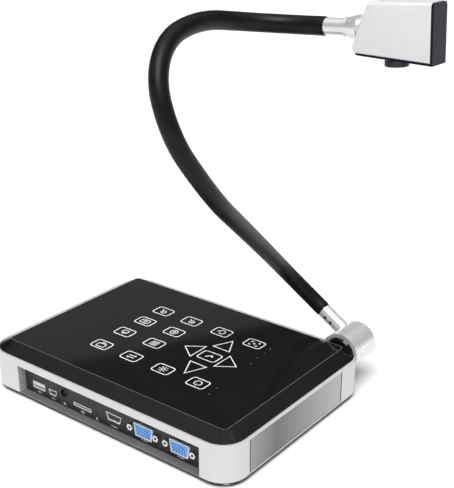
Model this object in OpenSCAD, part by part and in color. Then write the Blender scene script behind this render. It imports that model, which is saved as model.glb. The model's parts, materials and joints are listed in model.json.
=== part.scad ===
// Document camera: a flat base with touch keys, a gooseneck on a corner hinge, and a camera head.
// The origin is on the desk under the middle of the base. X runs along the base, and +Y is the port side.

/* [Base] */
// Length of the base along X
base_l = 244.8; // [220:0.2:280]
// Width of the base along Y
base_w = 176.4; // [160:0.2:200]
// Height of the silver wall
wall_h = 29.8; // [28:0.2:34]
// Thickness of the silver wall
wall = 2.4; // [2:0.1:3]
// Outer corner radius of the base
corner_r = 20; // [18:0.5:24]
// Height of the rubber feet, with the bottom plate above them
foot_h = 4.5; // [4:0.1:6]
// Height of the glass above the top of the wall
glass_rise = 5.9; // [5:0.1:7]
// Width of the sloped black border round the glass
border = 12.3; // [11:0.1:14]

/* [Port bay] */
// Width of the recess that holds the ports
bay_w = 184; // [180:1:190]
// Height of the recess
bay_h = 23.6; // [22:0.1:25]
// Depth of the recess
bay_d = 7.3; // [6:0.1:9]

/* [Hinge] */
// Radius of the hinge barrel
barrel_r = 15.8; // [15:0.1:17]
// Depth of the flat underside below the barrel's axis
barrel_flat = 5.4; // [4:0.1:7]
// Angle of the arm above the desk
arm_angle = 32; // [20:1:50]
// Diameter of the silver arm sleeve
arm_d = 12; // [11:0.1:12.6]

/* [Gooseneck] */
// Outer diameter of the black cover
neck_d = 12.8; // [12:0.1:14]
// Radius of the ball at each bend point
ball_r = 7; // [6.8:0.1:7.2]
// Gap between one neck section and the next
neck_gap = 0.3; // [0.25:0.05:0.5]

/* [Camera head] */
// Thickness of the head
head_t = 19; // [18:0.5:24]
// Length of the head from the neck sleeve's start
head_l = 80; // [76:1:90]
// Diameter of the focus ring
ring_d = 15.6; // [14:0.1:17]

/* [Hidden] */
$fn = 64;
eps = 0.01;
fit = 0.05;
gap = 0.3;

rim_z = foot_h + wall_h;
glass_z = rim_z + glass_rise;
glass_l = base_l - 2 * border;
glass_w = base_w - 2 * border;
glass_t = 2;
glass_r = 4;
rim_w = 1.3;
plate_t = 1.2;

bay_x = -96.9;
bay_wall = 1.6;
panel_y = base_w / 2 - bay_d;
panel_t = 1.5;
board_z = foot_h + 3;
board_t = 1.6;
board_top = board_z + board_t;
board_y1 = panel_y - panel_t - 1.4;

side_y0 = -54;
side_y1 = 64.6;
side_z0 = foot_h + 0.8;
side_h = wall_h - 3;
seam = 0.4;

post_h = 12;
post_x = base_l / 2 - corner_r + 11;
post_y = base_w / 2 - corner_r + 11;
foot_r = 8;
foot_x = 105.6;
foot_y = 71.6;

// Hinge axis, parallel to Y, and the faces along it
hinge_x = -105;
hinge_z = foot_h + 28.2;
collar_y = -76.2;
knuckle_y = -78;
seam_y = -85;
barrel_end_y = -109.5;
arm_y = -102;
shaft_r = 3;
shaft_bore = 1.8;
nut_r = 4.6;
washer_r = 8.5;
pocket_flat = barrel_flat - 0.7;
pocket_r = 9.2;
web_y = -92;

// Gooseneck: each row is a section's length, its bend and the turn of its bend plane, in degrees
neck_sections = [
    [66, 77, -51],
    [64, 7, -5],
    [65, 0, 0],
    [69, 27, 166],
    [40, 44, -19],
    [59, 71, -21],
    [42, 23, 0],
    [66, 85, -70],
];
neck_count = len(neck_sections);
arm_len = 36.4;
core_r = 4.6;
core_bore = 2;
cover_wall = neck_d / 2 - core_r - fit;
neck_tail = 12;
head_roll = -171;

function shift(v) = [[1, 0, 0, v[0]], [0, 1, 0, v[1]], [0, 0, 1, v[2]], [0, 0, 0, 1]];
function turn_x(a) = [[1, 0, 0, 0], [0, cos(a), -sin(a), 0], [0, sin(a), cos(a), 0], [0, 0, 0, 1]];
function turn_y(a) = [[cos(a), 0, sin(a), 0], [0, 1, 0, 0], [-sin(a), 0, cos(a), 0], [0, 0, 0, 1]];
function turn_z(a) = [[cos(a), -sin(a), 0, 0], [sin(a), cos(a), 0, 0], [0, 0, 1, 0], [0, 0, 0, 1]];
function bend_r(k) = neck_sections[k][0] / (neck_sections[k][1] * PI / 180);
function neck_start() =
    shift([hinge_x, arm_y, hinge_z]) * turn_y(-arm_angle) * shift([arm_len, 0, 0]) * turn_x(90);
function bend_step(k) =
    neck_sections[k][1] == 0
    ? shift([neck_sections[k][0], 0, 0])
    : shift([0, bend_r(k), 0]) * turn_z(neck_sections[k][1]) * shift([0, -bend_r(k), 0]);
function neck_step(k) = turn_x(neck_sections[k][2]) * bend_step(k);
function neck_frame(k) = k == 0 ? neck_start() : neck_frame(k - 1) * neck_step(k - 1);

// ---------- shared shapes ----------

module rounded_rect(l, w, r) {
    square([l - 2 * r, w], center = true);
    square([l, w - 2 * r], center = true);
    for (x = [-1, 1], y = [-1, 1])
        translate([x * (l / 2 - r), y * (w / 2 - r)])
            circle(r);
}

module inset_slab(inset, z, h) {
    translate([0, 0, z])
        linear_extrude(h)
            rounded_rect(base_l - 2 * inset, base_w - 2 * inset, max(corner_r - inset, glass_r));
}

// A cylinder along -Y, from y0 to y1, on the hinge axis
module hinge_rod(r, y0, y1) {
    translate([hinge_x, y0, hinge_z])
        rotate([90, 0, 0])
            cylinder(r = r, h = y0 - y1);
}

// A hinge rod with a flat underside
module hinge_d(r, flat, y0, y1) {
    difference() {
        hinge_rod(r, y0, y1);
        translate([hinge_x - 2 * r, y1 - 1, hinge_z - flat - 2 * r])
            cube([4 * r, y0 - y1 + 2, 2 * r]);
    }
}

module at_corners(x, y) {
    for (sx = [-1, 1], sy = [-1, 1])
        translate([sx * x, sy * y, 0])
            children();
}

// A screw along +Z with its head at the bottom
module screw(r, length, head_r, head_h) {
    cylinder(r = head_r, h = head_h);
    cylinder(r = r, h = head_h + length);
}

// ---------- base ----------

module side_window(side) {
    x0 = side < 0 ? -base_l / 2 - 1 : base_l / 2 - wall - 1;
    translate([x0, side_y0, side_z0])
        cube([wall + 2, side_y1 - side_y0, side_h]);
}

module base_frame() {
    bay_top = foot_h + bay_h;
    color("silver")
        difference() {
            union() {
                difference() {
                    inset_slab(0, foot_h, wall_h);
                    inset_slab(wall, foot_h - 1, wall_h + 2);
                }
                translate([bay_x - bay_wall, panel_y - panel_t - 1, foot_h])
                    cube([bay_wall, bay_d + panel_t, bay_h + bay_wall]);
                translate([bay_x + bay_w, panel_y - panel_t - 1, foot_h])
                    cube([bay_wall, bay_d + panel_t, bay_h + bay_wall]);
                translate([bay_x - bay_wall, panel_y - panel_t - 1, bay_top])
                    cube([bay_w + 2 * bay_wall, bay_d + panel_t, bay_wall]);
                translate([0, 0, foot_h])
                    at_corners(post_x, post_y)
                        cylinder(r = 4, h = post_h);
                translate([hinge_x - 7, knuckle_y, foot_h])
                    cube([14, 7, 15.8]);
            }
            translate([bay_x, base_w / 2 - wall - 1, foot_h - 1])
                cube([bay_w, wall + 2, bay_h + 1]);
            side_window(-1);
            side_window(1);
            translate([0, 0, foot_h - 1])
                at_corners(post_x, post_y)
                    cylinder(r = 1.25, h = 9);
            for (x = [-3.5, 3.5])
                translate([hinge_x + x, knuckle_y + 3.5, foot_h + 8])
                    cylinder(r = 1.25, h = 9);
            hinge_d(barrel_r + gap, barrel_flat, knuckle_y + gap, seam_y - gap);
            hinge_rod(barrel_r + 2 * gap, seam_y + eps, -base_w / 2 - 5);
        }
}

module side_panel(side) {
    outer = base_l / 2 - 0.3;
    x0 = side < 0 ? -outer : outer - 2;
    flange_x0 = side < 0 ? -base_l / 2 + wall : base_l / 2 - wall - 1;
    color("darkgray") {
        translate([x0, side_y0 + seam, side_z0 + 0.1])
            cube([2.2, side_y1 - side_y0 - 2 * seam, side_h - 0.2]);
        translate([flange_x0, side_y0 - 3, side_z0 - 0.5])
            cube([1, side_y1 - side_y0 + 6, side_h - 0.4]);
    }
}

module side_panel_left() {
    side_panel(-1);
}

module side_panel_right() {
    mirror([1, 0, 0])
        side_panel(-1);
}

module bezel_solid() {
    hull($fn = 48) {
        inset_slab(rim_w, rim_z, 0.3);
        inset_slab(border - 0.1, glass_z - 0.3, 0.3);
    }
}

module bezel_hollow() {
    hull($fn = 48) {
        inset_slab(rim_w + 2.2, rim_z - 0.5, 0.3);
        inset_slab(border + 1, glass_z - glass_t - 1.6, 0.3);
    }
}

// Black collar that rises from the border to the hinge knuckle
module hinge_collar() {
    intersection() {
        translate([hinge_x, collar_y, hinge_z])
            rotate([90, 0, 0])
                cylinder(r1 = 11.6, r2 = 12.8, h = collar_y - knuckle_y);
        translate([hinge_x - 20, knuckle_y - 1, rim_z])
            cube([40, 10, 30]);
    }
}

module top_bezel() {
    color([0.11, 0.11, 0.12])
        difference() {
            union() {
                difference() {
                    bezel_solid();
                    bezel_hollow();
                }
                difference() {
                    inset_slab(wall + 0.2, rim_z - 3, 3 + eps);
                    inset_slab(wall + 1.6, rim_z - 4, 6);
                }
                hinge_collar();
            }
            translate([0, 0, glass_z - glass_t])
                linear_extrude(glass_t + 1)
                    rounded_rect(glass_l + 0.2, glass_w + 0.2, glass_r);
            translate([0, 0, rim_z - 5])
                linear_extrude(20)
                    rounded_rect(glass_l - 6, glass_w - 6, glass_r);
            hinge_rod(barrel_r + gap, knuckle_y - fit, -base_w / 2 - 5);
            translate([bay_x - 3, base_w / 2 - bay_d - 3, rim_z - 6])
                cube([bay_w + 6, bay_d + 4, 3.6]);
        }
}

module touch_glass() {
    color([0.1, 0.1, 0.11])
        translate([0, 0, glass_z - glass_t])
            linear_extrude(glass_t)
                rounded_rect(glass_l, glass_w, glass_r - 0.1);
}

module bottom_plate() {
    color("dimgray")
        difference() {
            inset_slab(0.8, foot_h - plate_t, plate_t);
            translate([0, 0, foot_h - plate_t - 1])
                at_corners(post_x, post_y)
                    cylinder(r = 1.7, h = plate_t + 2);
        }
}

module rubber_foot() {
    edge = 0.8;
    height = foot_h - plate_t;
    rotate_extrude() {
        translate([0, edge])
            square([foot_r, height - edge]);
        square([foot_r - edge, height]);
        translate([foot_r - edge, edge])
            circle(edge, $fn = 32);
    }
}

module rubber_feet() {
    color("black")
        at_corners(foot_x, foot_y)
            rubber_foot();
}

module base_screws() {
    color("silver")
        translate([0, 0, foot_h - plate_t - 1.4])
            at_corners(post_x, post_y)
                screw(1.2, 7.5, 2.6, 1.4);
}

module ballast_plate() {
    color("slategray")
        translate([-95, -64, foot_h + 0.2])
            cube([150, 60, 2.4]);
}

module standoff_places() {
    for (x = [-88, 0, 84], y = [10, 62])
        translate([x, y, 0])
            children();
}

module main_board() {
    color("darkgreen")
        difference() {
            translate([-94, 2, board_z])
                cube([182, board_y1 - 2, board_t]);
            standoff_places()
                translate([0, 0, board_z - 1])
                    cylinder(r = 1.6, h = 4);
        }
}

module board_standoffs() {
    color("goldenrod")
        standoff_places()
            translate([0, 0, foot_h])
                difference() {
                    cylinder(r = 2.8, h = board_z - foot_h);
                    translate([0, 0, 0.5])
                        cylinder(r = 1.25, h = 9);
                }
}

module board_screws() {
    color("silver")
        standoff_places()
            translate([0, 0, board_top + 1.6])
                mirror([0, 0, 1])
                    screw(1.2, 3.6, 2.6, 1.6);
}

module heat_sink() {
    color("lightgray")
        translate([-20, 20, board_top + 1.2]) {
            cube([30, 30, 1.6]);
            for (k = [0:7])
                translate([0, k * 4, 0])
                    cube([30, 1.2, 8]);
            translate([7, 7, -1.2])
                cube([16, 16, 1.3]);
        }
}

module touch_board() {
    led_spots = [[-71, 45], [-70.6, 35.5], [-68, -9.6], [-67, -19.3], [-67, -29], [-66, -38]];
    color("darkgreen")
        translate([-88, -56, glass_z - glass_t - 2])
            cube([150, 112, 1.2]);
    color("white")
        for (p = led_spots)
            translate([p[0] - 1, p[1] - 0.6, glass_z - glass_t - 0.8 - eps])
                cube([2, 1.2, 0.6]);
}

module ribbon_cable() {
    color("gainsboro")
        rotate([90, 0, 0])
            translate([0, 0, -44])
                linear_extrude(16)
                    polygon([
                        [40, board_top], [41, board_top], [41, board_top + 8], [58, glass_z - 5],
                        [58, glass_z - glass_t - 2], [57, glass_z - glass_t - 2],
                        [57, glass_z - 5.4], [40, board_top + 8.4]
                    ]);
}

// ---------- ports ----------

usb_x = 71.4;
mini_x = 56;
power_x = 43.4;
card_x = 23.5;
reset_x = 8;
hdmi_x = -9.6;
vga_in_x = -40;
vga_out_x = -74.2;
usb_z = foot_h + 7.9;
mini_z = foot_h + 7.3;
power_z = foot_h + 11.6;
card_z = foot_h + 6.4;
reset_z = foot_h + 7;
hdmi_z = foot_h + 9.5;
vga_z = foot_h + 10;
screw_pitch = 25;
vga_out = 2;
post_out = 2.5;

// A slot in the port panel or a body behind it, centred on x and z
module port_block(x, z, w, h, y0, y1) {
    translate([x - w / 2, y0, z - h / 2])
        cube([w, y1 - y0, h]);
}

module port_rod(x, z, r, y0, y1) {
    translate([x, y1, z])
        rotate([90, 0, 0])
            cylinder(r = r, h = y1 - y0);
}

// The outline of a video socket, wider at the top
module d_outline(w, h, slant) {
    polygon([[-w / 2, h / 2], [w / 2, h / 2], [w / 2 - slant, -h / 2], [-w / 2 + slant, -h / 2]]);
}

module d_block(x, z, w, h, slant, y0, y1) {
    translate([x, y1, z])
        rotate([90, 0, 0])
            linear_extrude(y1 - y0)
                d_outline(w, h, slant);
}

module port_panel() {
    y0 = panel_y - panel_t;
    a = y0 - 1;
    b = panel_y + 1;
    color([0.15, 0.15, 0.16])
        difference() {
            translate([bay_x + 0.1, y0, foot_h + 0.1])
                cube([bay_w - 0.2, panel_t, bay_h - 0.2]);
            port_block(usb_x, usb_z, 14, 6, a, b);
            d_block(mini_x, mini_z, 9.5, 5, 1.2, a, b);
            port_rod(power_x, power_z, 4.2, a, b);
            port_block(card_x, card_z, 19.4, 3.2, a, b);
            port_rod(reset_x, reset_z, 1, a, b);
            d_block(hdmi_x, hdmi_z, 16.4, 6.8, 2, a, b);
            for (x = [vga_in_x, vga_out_x]) {
                d_block(x, vga_z, 19.4, 11.2, 1.6, a, b);
                for (s = [-1, 1])
                    port_rod(x + s * screw_pitch / 2, vga_z, 1.8, a, b);
            }
        }
}

// From the board up to the underside of a socket
module socket_base(x, w, z, y0) {
    translate([x - w / 2, y0, board_top])
        cube([w, panel_y - 3 - y0, z - board_top + eps]);
}

module usb_a_socket() {
    y1 = panel_y + 0.4;
    color("silver")
        difference() {
            port_block(usb_x, usb_z, 13.4, 5.6, y1 - 15, y1);
            port_block(usb_x, usb_z, 12.4, 4.6, y1 - 10, y1 + 1);
        }
    color("white")
        port_block(usb_x, usb_z + 1.1, 11, 1.8, y1 - 11, y1 - 1.2);
    color("silver")
        socket_base(usb_x, 13.4, usb_z - 2.8, y1 - 15);
}

module mini_usb_socket() {
    y1 = panel_y + 0.3;
    color("silver")
        difference() {
            d_block(mini_x, mini_z, 9, 4.6, 1.2, y1 - 9, y1);
            d_block(mini_x, mini_z, 8, 3.6, 1, y1 - 7, y1 + 1);
        }
    color("black")
        port_block(mini_x, mini_z + 0.5, 5.6, 0.9, y1 - 8, y1 - 1);
    color("silver")
        socket_base(mini_x, 6, mini_z - 2.3, y1 - 9);
}

module power_socket() {
    y1 = panel_y - panel_t;
    color([0.12, 0.12, 0.13])
        difference() {
            union() {
                port_block(power_x, board_top + 5.5, 9, 11, y1 - 14, y1 - 0.1);
                port_rod(power_x, power_z, 4, y1 - 2, panel_y + 0.5);
            }
            port_rod(power_x, power_z, 3.1, y1 - 10, panel_y + 2);
        }
    color("silver")
        port_rod(power_x, power_z, 0.9, y1 - 11, panel_y - 0.4);
}

module card_slot() {
    y1 = panel_y + 0.2;
    color("silver")
        difference() {
            port_block(card_x, card_z, 19, 2.8, y1 - 18, y1);
            port_block(card_x, card_z, 17.6, 1.6, y1 - 16, y1 + 1);
        }
    color("silver")
        socket_base(card_x, 19, card_z - 1.4, y1 - 18);
}

module reset_switch() {
    y1 = panel_y - panel_t - 0.3;
    color([0.2, 0.2, 0.2])
        difference() {
            port_block(reset_x, reset_z, 6, 4.7, y1 - 5.5, y1 - 1.5);
            port_rod(reset_x, reset_z, 1.5, y1 - 4, y1);
        }
}

module reset_button() {
    y1 = panel_y - panel_t - 0.3;
    color("white") {
        port_rod(reset_x, reset_z, 1.4, y1 - 3.4, y1 - 1);
        port_rod(reset_x, reset_z, 0.7, y1 - 1.1, y1 + 0.8);
    }
}

module hdmi_socket() {
    y1 = panel_y + 0.3;
    color("silver")
        difference() {
            d_block(hdmi_x, hdmi_z, 15.8, 6.2, 2, y1 - 12, y1);
            d_block(hdmi_x, hdmi_z, 14.6, 5, 1.7, y1 - 9, y1 + 1);
        }
    color("black")
        port_block(hdmi_x, hdmi_z + 0.3, 11.5, 1.4, y1 - 10, y1 - 1.4);
    color("silver")
        socket_base(hdmi_x, 11, hdmi_z - 3.1, y1 - 12);
}

// Blue insulator with three rows of five contact holes
module vga_insert(x) {
    y1 = panel_y + vga_out;
    back = panel_y - panel_t - 1.4;
    color([0.35, 0.6, 0.95])
        difference() {
            union() {
                d_block(x, vga_z, 16.4, 8.2, 1.5, back - 0.5, y1);
                port_block(x, vga_z - 0.6, 15, 9.6, back - 9, back);
            }
            for (row = [-1, 0, 1], k = [-2:2])
                port_rod(x + k * 2.6 + row * 0.7, vga_z + row * 2.1, 0.5, y1 - 5, y1 + 1);
        }
}

module vga_in_socket() {
    vga_insert(vga_in_x);
}

module vga_out_socket() {
    vga_insert(vga_out_x);
}

module vga_flanges() {
    y0 = panel_y - panel_t - 1.3;
    color("silver")
        for (x = [vga_in_x, vga_out_x])
            difference() {
                union() {
                    port_block(x, vga_z, 31, 12.4, y0, y0 + 1);
                    d_block(x, vga_z, 18.6, 10.4, 1.6, y0, panel_y + vga_out - 0.4);
                }
                d_block(x, vga_z, 16.6, 8.4, 1.5, y0 - 1, panel_y + 6);
                for (s = [-1, 1])
                    port_rod(x + s * screw_pitch / 2, vga_z, 1.5, y0 - 1, y0 + 2);
            }
}

// Hexagonal posts with a threaded hole for the cable's screws
module vga_jackscrews() {
    y0 = panel_y - panel_t - 4;
    color("silver")
        for (x = [vga_in_x, vga_out_x], s = [-1, 1])
            difference() {
                union() {
                    port_rod(x + s * screw_pitch / 2, vga_z, 1.4, y0, panel_y + 1);
                    translate([x + s * screw_pitch / 2, panel_y + post_out, vga_z])
                        rotate([90, 0, 0])
                            cylinder(r = 2.75, h = post_out - fit, $fn = 6);
                }
                port_rod(x + s * screw_pitch / 2, vga_z, 1.1, y0 + 1, panel_y + post_out + 1);
            }
}

// ---------- hinge ----------

module hinge_knuckle() {
    color("silver")
        difference() {
            union() {
                hinge_d(barrel_r, barrel_flat, knuckle_y - 2 * fit, seam_y);
                translate([hinge_x - 7, knuckle_y - 2, foot_h + 15.8 + fit])
                    cube([14, 9, 11.2]);
            }
            hinge_rod(shaft_r + fit, knuckle_y - 1, seam_y - 1);
            hinge_rod(shaft_bore, knuckle_y + 12, seam_y);
            for (x = [-3.5, 3.5])
                translate([hinge_x + x, knuckle_y + 3.5, foot_h])
                    cylinder(r = 1.5, h = 40);
        }
}

module hinge_screws() {
    color("silver")
        for (x = [-3.5, 3.5])
            translate([hinge_x + x, knuckle_y + 3.5, foot_h + 27 + fit + 1.6])
                mirror([0, 0, 1])
                    screw(1.2, 16, 2.4, 1.6);
}

module hinge_shaft() {
    color("gray")
        difference() {
            hinge_rod(shaft_r, knuckle_y - 1.1, -101);
            hinge_rod(shaft_bore, knuckle_y, -102);
        }
}

// Three washers that the barrel's flat turns with it, squeezed between its web and the nut
module friction_washers() {
    color("goldenrod")
        for (k = [0:2])
            difference() {
                hinge_d(washer_r, pocket_flat - 0.1, web_y - 0.02 - k * 0.9, web_y - 0.82 - k * 0.9);
                hinge_rod(shaft_r + fit, web_y + 1, web_y - 5);
            }
}

module lock_nut() {
    nut_y = web_y - 2.8;
    color("silver")
        difference() {
            translate([hinge_x, nut_y, hinge_z])
                rotate([90, 0, 0])
                    cylinder(r = nut_r, h = 4.5, $fn = 6);
            hinge_rod(shaft_r + 0.02, nut_y + 1, nut_y - 6);
        }
}

// The profile is revolved about the hinge axis: a tube end with a rounded outer edge
module barrel_outline(edge) {
    len = seam_y - 0.3 - barrel_end_y;
    square([barrel_r, len - edge]);
    square([barrel_r - edge, len]);
    translate([barrel_r - edge, len - edge])
        circle(edge);
}

module along_arm(y) {
    translate([hinge_x, y, hinge_z])
        rotate([0, 90 - arm_angle, 0])
            children();
}

module hinge_barrel() {
    edge = 3;
    start_y = seam_y - 0.3;
    color("silver")
        difference() {
            translate([hinge_x, start_y, hinge_z])
                rotate([90, 0, 0])
                    rotate_extrude()
                        barrel_outline(edge);
            translate([hinge_x - 20, barrel_end_y - 1, hinge_z - barrel_flat - 20])
                cube([40, start_y - barrel_end_y + 2, 20]);
            hinge_rod(shaft_r + fit, start_y + 1, web_y - 1);
            hinge_d(pocket_r, pocket_flat, web_y, barrel_end_y + 1.6);
            hinge_d(pocket_r + 1.2, pocket_flat, barrel_end_y + 1.6 + eps, barrel_end_y - 1);
            along_arm(arm_y)
                translate([0, 0, pocket_r + 1])
                    cylinder(r = arm_d / 2 + fit, h = 20);
            along_arm(arm_y)
                translate([0, 0, pocket_r - 4])
                    cylinder(r = 4, h = 8);
        }
}

module barrel_cap() {
    color("silver")
        hinge_d(pocket_r + 1.1, pocket_flat - 0.1, barrel_end_y + 1.6 - fit, barrel_end_y + fit);
}

module arm_sleeve() {
    root = pocket_r + 1 + fit;
    color("silver")
        along_arm(arm_y)
            difference() {
                translate([0, 0, root])
                    cylinder(r = arm_d / 2, h = arm_len - root);
                cylinder(r = 3.2, h = 24);
                translate([0, 0, 20])
                    cylinder(r = core_r + fit, h = 30);
                for (z = [24.5, 30.5])
                    translate([0, 0, z])
                        rotate([90, 0, 180])
                            cylinder(r = 1.3, h = 10);
            }
}

module set_screws() {
    color("dimgray")
        along_arm(arm_y)
            for (z = [24.5, 30.5])
                translate([0, 0, z])
                    rotate([90, 0, 180])
                        difference() {
                            translate([0, 0, core_r + 2 * fit])
                                cylinder(r = 1.25, h = arm_d / 2 - core_r - 0.2);
                            translate([0, 0, arm_d / 2 - 0.9])
                                cylinder(r = 0.7, h = 2, $fn = 6);
                        }
}

// ---------- gooseneck ----------

// A rod along +X from x0 to x1
module rod_x(r, x0, x1) {
    translate([x0, 0, 0])
        rotate([0, 90, 0])
            cylinder(r = r, h = x1 - x0);
}

module tube_x(r, bore, x0, x1) {
    difference() {
        rod_x(r, x0, x1);
        rod_x(bore, x0 - 1, x1 + 1);
    }
}

// The tube of one section in its own frame, run on backwards by one ball radius
module bent_tube(k, r, bore, back) {
    angle = neck_sections[k][1];
    bend = bend_r(k);
    extra = back / bend * 180 / PI;
    if (angle == 0)
        tube_x(r, bore, -back, neck_sections[k][0]);
    else
        translate([0, bend, 0])
            rotate([0, 0, -90 - extra])
                rotate_extrude(angle = angle + extra, $fn = 96)
                    translate([bend, 0])
                        difference() {
                            circle(r);
                            circle(bore);
                        }
}

// A ball with its poles along the neck
module neck_ball(r) {
    rotate([0, 90, 0])
        rotate([0, 0, 37])
            sphere(r, $fn = 96);
}

// One neck section: a ball-shaped start, a bend, and a ball-shaped hollow at its end.
// The first starts flat, and a head or tail runs on straight past the section.
module neck_section(k, r, bore, head, tail) {
    step = 0.01;
    overlap = 0.6;
    multmatrix(neck_frame(k) * turn_x(neck_sections[k][2])) {
        difference() {
            bent_tube(k, r, bore, k == 0 ? 0 : ball_r);
            if (k > 0)
                difference() {
                    translate([-2 * ball_r, -2 * ball_r, -2 * ball_r])
                        cube([2 * ball_r, 4 * ball_r, 4 * ball_r]);
                    neck_ball(ball_r);
                }
            if (tail == 0)
                multmatrix(bend_step(k))
                    neck_ball(ball_r + neck_gap);
        }
        if (head > 0)
            tube_x(r - step, bore + step, -head, overlap);
        if (tail > 0)
            multmatrix(bend_step(k))
                tube_x(r - step, bore + step, -overlap, tail);
    }
}

module neck_cover(k) {
    last = k == neck_count - 1;
    color([0.12, 0.12, 0.12])
        neck_section(k, neck_d / 2, core_r + fit, 0, last ? neck_tail : 0);
}

module neck_core(k) {
    last = k == neck_count - 1;
    color("slategray")
        neck_section(k, core_r, core_bore, k == 0 ? 14 : 0, last ? neck_tail + 14 : 0);
}

// ---------- camera head ----------

// The head's own frame: +X away from the neck, +Z up, from the end of the black cover
module at_head() {
    multmatrix(neck_frame(neck_count) * turn_x(head_roll) * shift([neck_tail, 0, 0]))
        children();
}

sleeve_r = 5.7;
shell_x = 24;
shell_top_x = 35.5;
shell_low = -14.7;
shell_end_low = -18.3;
shell_high = 17.5;
shell_end_high = 18.2;
shell_edge = 3;
shell_wall = 1.6;
lens_x = 52;
lens_r = 5;
ring_top = -18.9;
ring_h = 3.8;
camera_x = 39;
front_screw = [31, -16.4];
rear_screw = [72, -19.3];

// Outer radius, from the neck's end to the head: straight, flared, then a spigot inside the shell
module sleeve_solid(g) {
    rod_x(sleeve_r + g, -g, 15);
    translate([14, 0, 0])
        rotate([0, 90, 0])
            cylinder(r1 = sleeve_r + g, r2 = sleeve_r + 3.2 + g, h = 12);
    rod_x(sleeve_r + 0.8 + g, 15, 38 + g);
}

module head_sleeve() {
    color("silver")
        at_head()
            difference() {
                sleeve_solid(0);
                rod_x(core_r + fit, -1, 40);
            }
}

// Side outline of the silver shell, grown or shrunk by g
module head_outline(g) {
    polygon([
        [shell_x + 1.5 - g, shell_low - g],
        [shell_x - g, shell_low + 3.5],
        [shell_top_x - g, shell_high + g],
        [head_l - 0.5 + (g > 0 ? g : 0), shell_end_high + g],
        [head_l - 0.5 + (g > 0 ? g : 0), shell_end_low - g],
    ]);
}

module head_block(g) {
    translate([0, head_t / 2 + g, 0])
        rotate([90, 0, 0])
            linear_extrude(head_t + 2 * g)
                head_outline(g);
}

// Cross outline of the head with rounded top edges
module head_section(g) {
    w = head_t + 2 * g;
    r = shell_edge + g;
    top = shell_end_high + g;
    translate([0, -w / 2])
        square([top - r + 40, w]);
    translate([0, -w / 2 + r])
        square([top + 40, w - 2 * r]);
    for (s = [-1, 1])
        translate([top - r + 40, s * (w / 2 - r)])
            circle(r);
}

module head_bar(g) {
    translate([10, 0, -40])
        rotate([0, -90, 180])
            linear_extrude(90)
                head_section(g);
}

// A rib across the inside of the shell, joined to both side walls
module head_rib(x0, x1, z0, z1) {
    w = head_t - shell_wall;
    translate([x0, -w / 2, z0])
        cube([x1 - x0, w, z1 - z0]);
}

module head_ribs() {
    difference() {
        union() {
            head_rib(28.5, 33.5, -14.2, -7.4);
            head_rib(69.5, 74.5, -17.2, -10.5);
            head_rib(60, 63, -7, -2 - fit);
        }
        for (p = [front_screw, rear_screw])
            translate([p[0], 0, -20])
                cylinder(r = 1.05, h = p[1] + 28.5);
    }
}

module head_shell() {
    color("gainsboro")
        at_head() {
            difference() {
                intersection() {
                    head_block(0);
                    head_bar(0);
                }
                intersection() {
                    head_block(-shell_wall);
                    head_bar(-shell_wall);
                }
                translate([head_l - 6, -head_t / 2 + shell_wall, -30])
                    cube([10, head_t - 2 * shell_wall, 30 + shell_end_high - shell_wall - 1]);
                translate([shell_x + 6, -head_t / 2 + shell_wall, -30])
                    cube([head_l, head_t - 2 * shell_wall, 18]);
                sleeve_solid(fit);
            }
            head_ribs();
        }
}

// Black cover over the end face and the underside
module head_cover() {
    inner = head_t - 2 * shell_wall - 0.2;
    cover_x = head_l - 0.5 + fit;
    color([0.1, 0.1, 0.14])
        at_head()
            difference() {
                union() {
                    intersection() {
                        translate([cover_x, -head_t / 2 + 0.4, shell_end_low - 1.7])
                            cube([1.6, head_t - 0.8, shell_end_high - shell_end_low + 3]);
                        head_bar(-0.4);
                    }
                    translate([0, head_t / 2 - 0.4, 0])
                        rotate([90, 0, 0])
                            linear_extrude(head_t - 0.8)
                                polygon([
                                    [shell_x + 2.5, shell_low - 3 * fit],
                                    [cover_x + 1, shell_end_low - 3 * fit],
                                    [cover_x + 1, shell_end_low - 1.7],
                                    [shell_x + 3.5, shell_low - 1.5],
                                ]);
                    translate([head_l - 4, -inner / 2, shell_end_low + 2])
                        cube([5, inner, 30]);
                }
                translate([head_l - 5, -inner / 2 + 1.5, shell_end_low + 3.5])
                    cube([4, inner - 3, 27]);
                translate([lens_x, 0, -30])
                    cylinder(r = lens_r + 2.1, h = 20);
                for (p = [front_screw, rear_screw])
                    translate([p[0], 0, p[1] - 1]) {
                        cylinder(r = 1.95, h = 1.85);
                        cylinder(r = 1.15, h = 4);
                    }
            }
}

module camera_board() {
    color("darkgreen")
        at_head()
            translate([camera_x, -7, -2])
                cube([35, 14, 1.2]);
    color("black")
        at_head()
            translate([lens_x - 5, -5, -3.2])
                cube([10, 10, 1.3]);
}

module lens_barrel() {
    color([0.1, 0.1, 0.1])
        at_head()
            difference() {
                union() {
                    translate([lens_x, 0, ring_top - 2.6])
                        cylinder(r = lens_r, h = -5.4 - ring_top);
                    translate([lens_x, 0, -8.5])
                        cylinder(r = 6.6, h = 5.2);
                }
                translate([lens_x, 0, ring_top - 3])
                    cylinder(r = 3.6, h = 9);
                translate([lens_x, 0, -13])
                    cylinder(r = 2, h = 10);
            }
}

module front_lens() {
    color([0.5, 0.6, 0.8])
        at_head()
            translate([lens_x, 0, ring_top - 0.8])
                cylinder(r = 3.55, h = 2);
}

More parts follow.
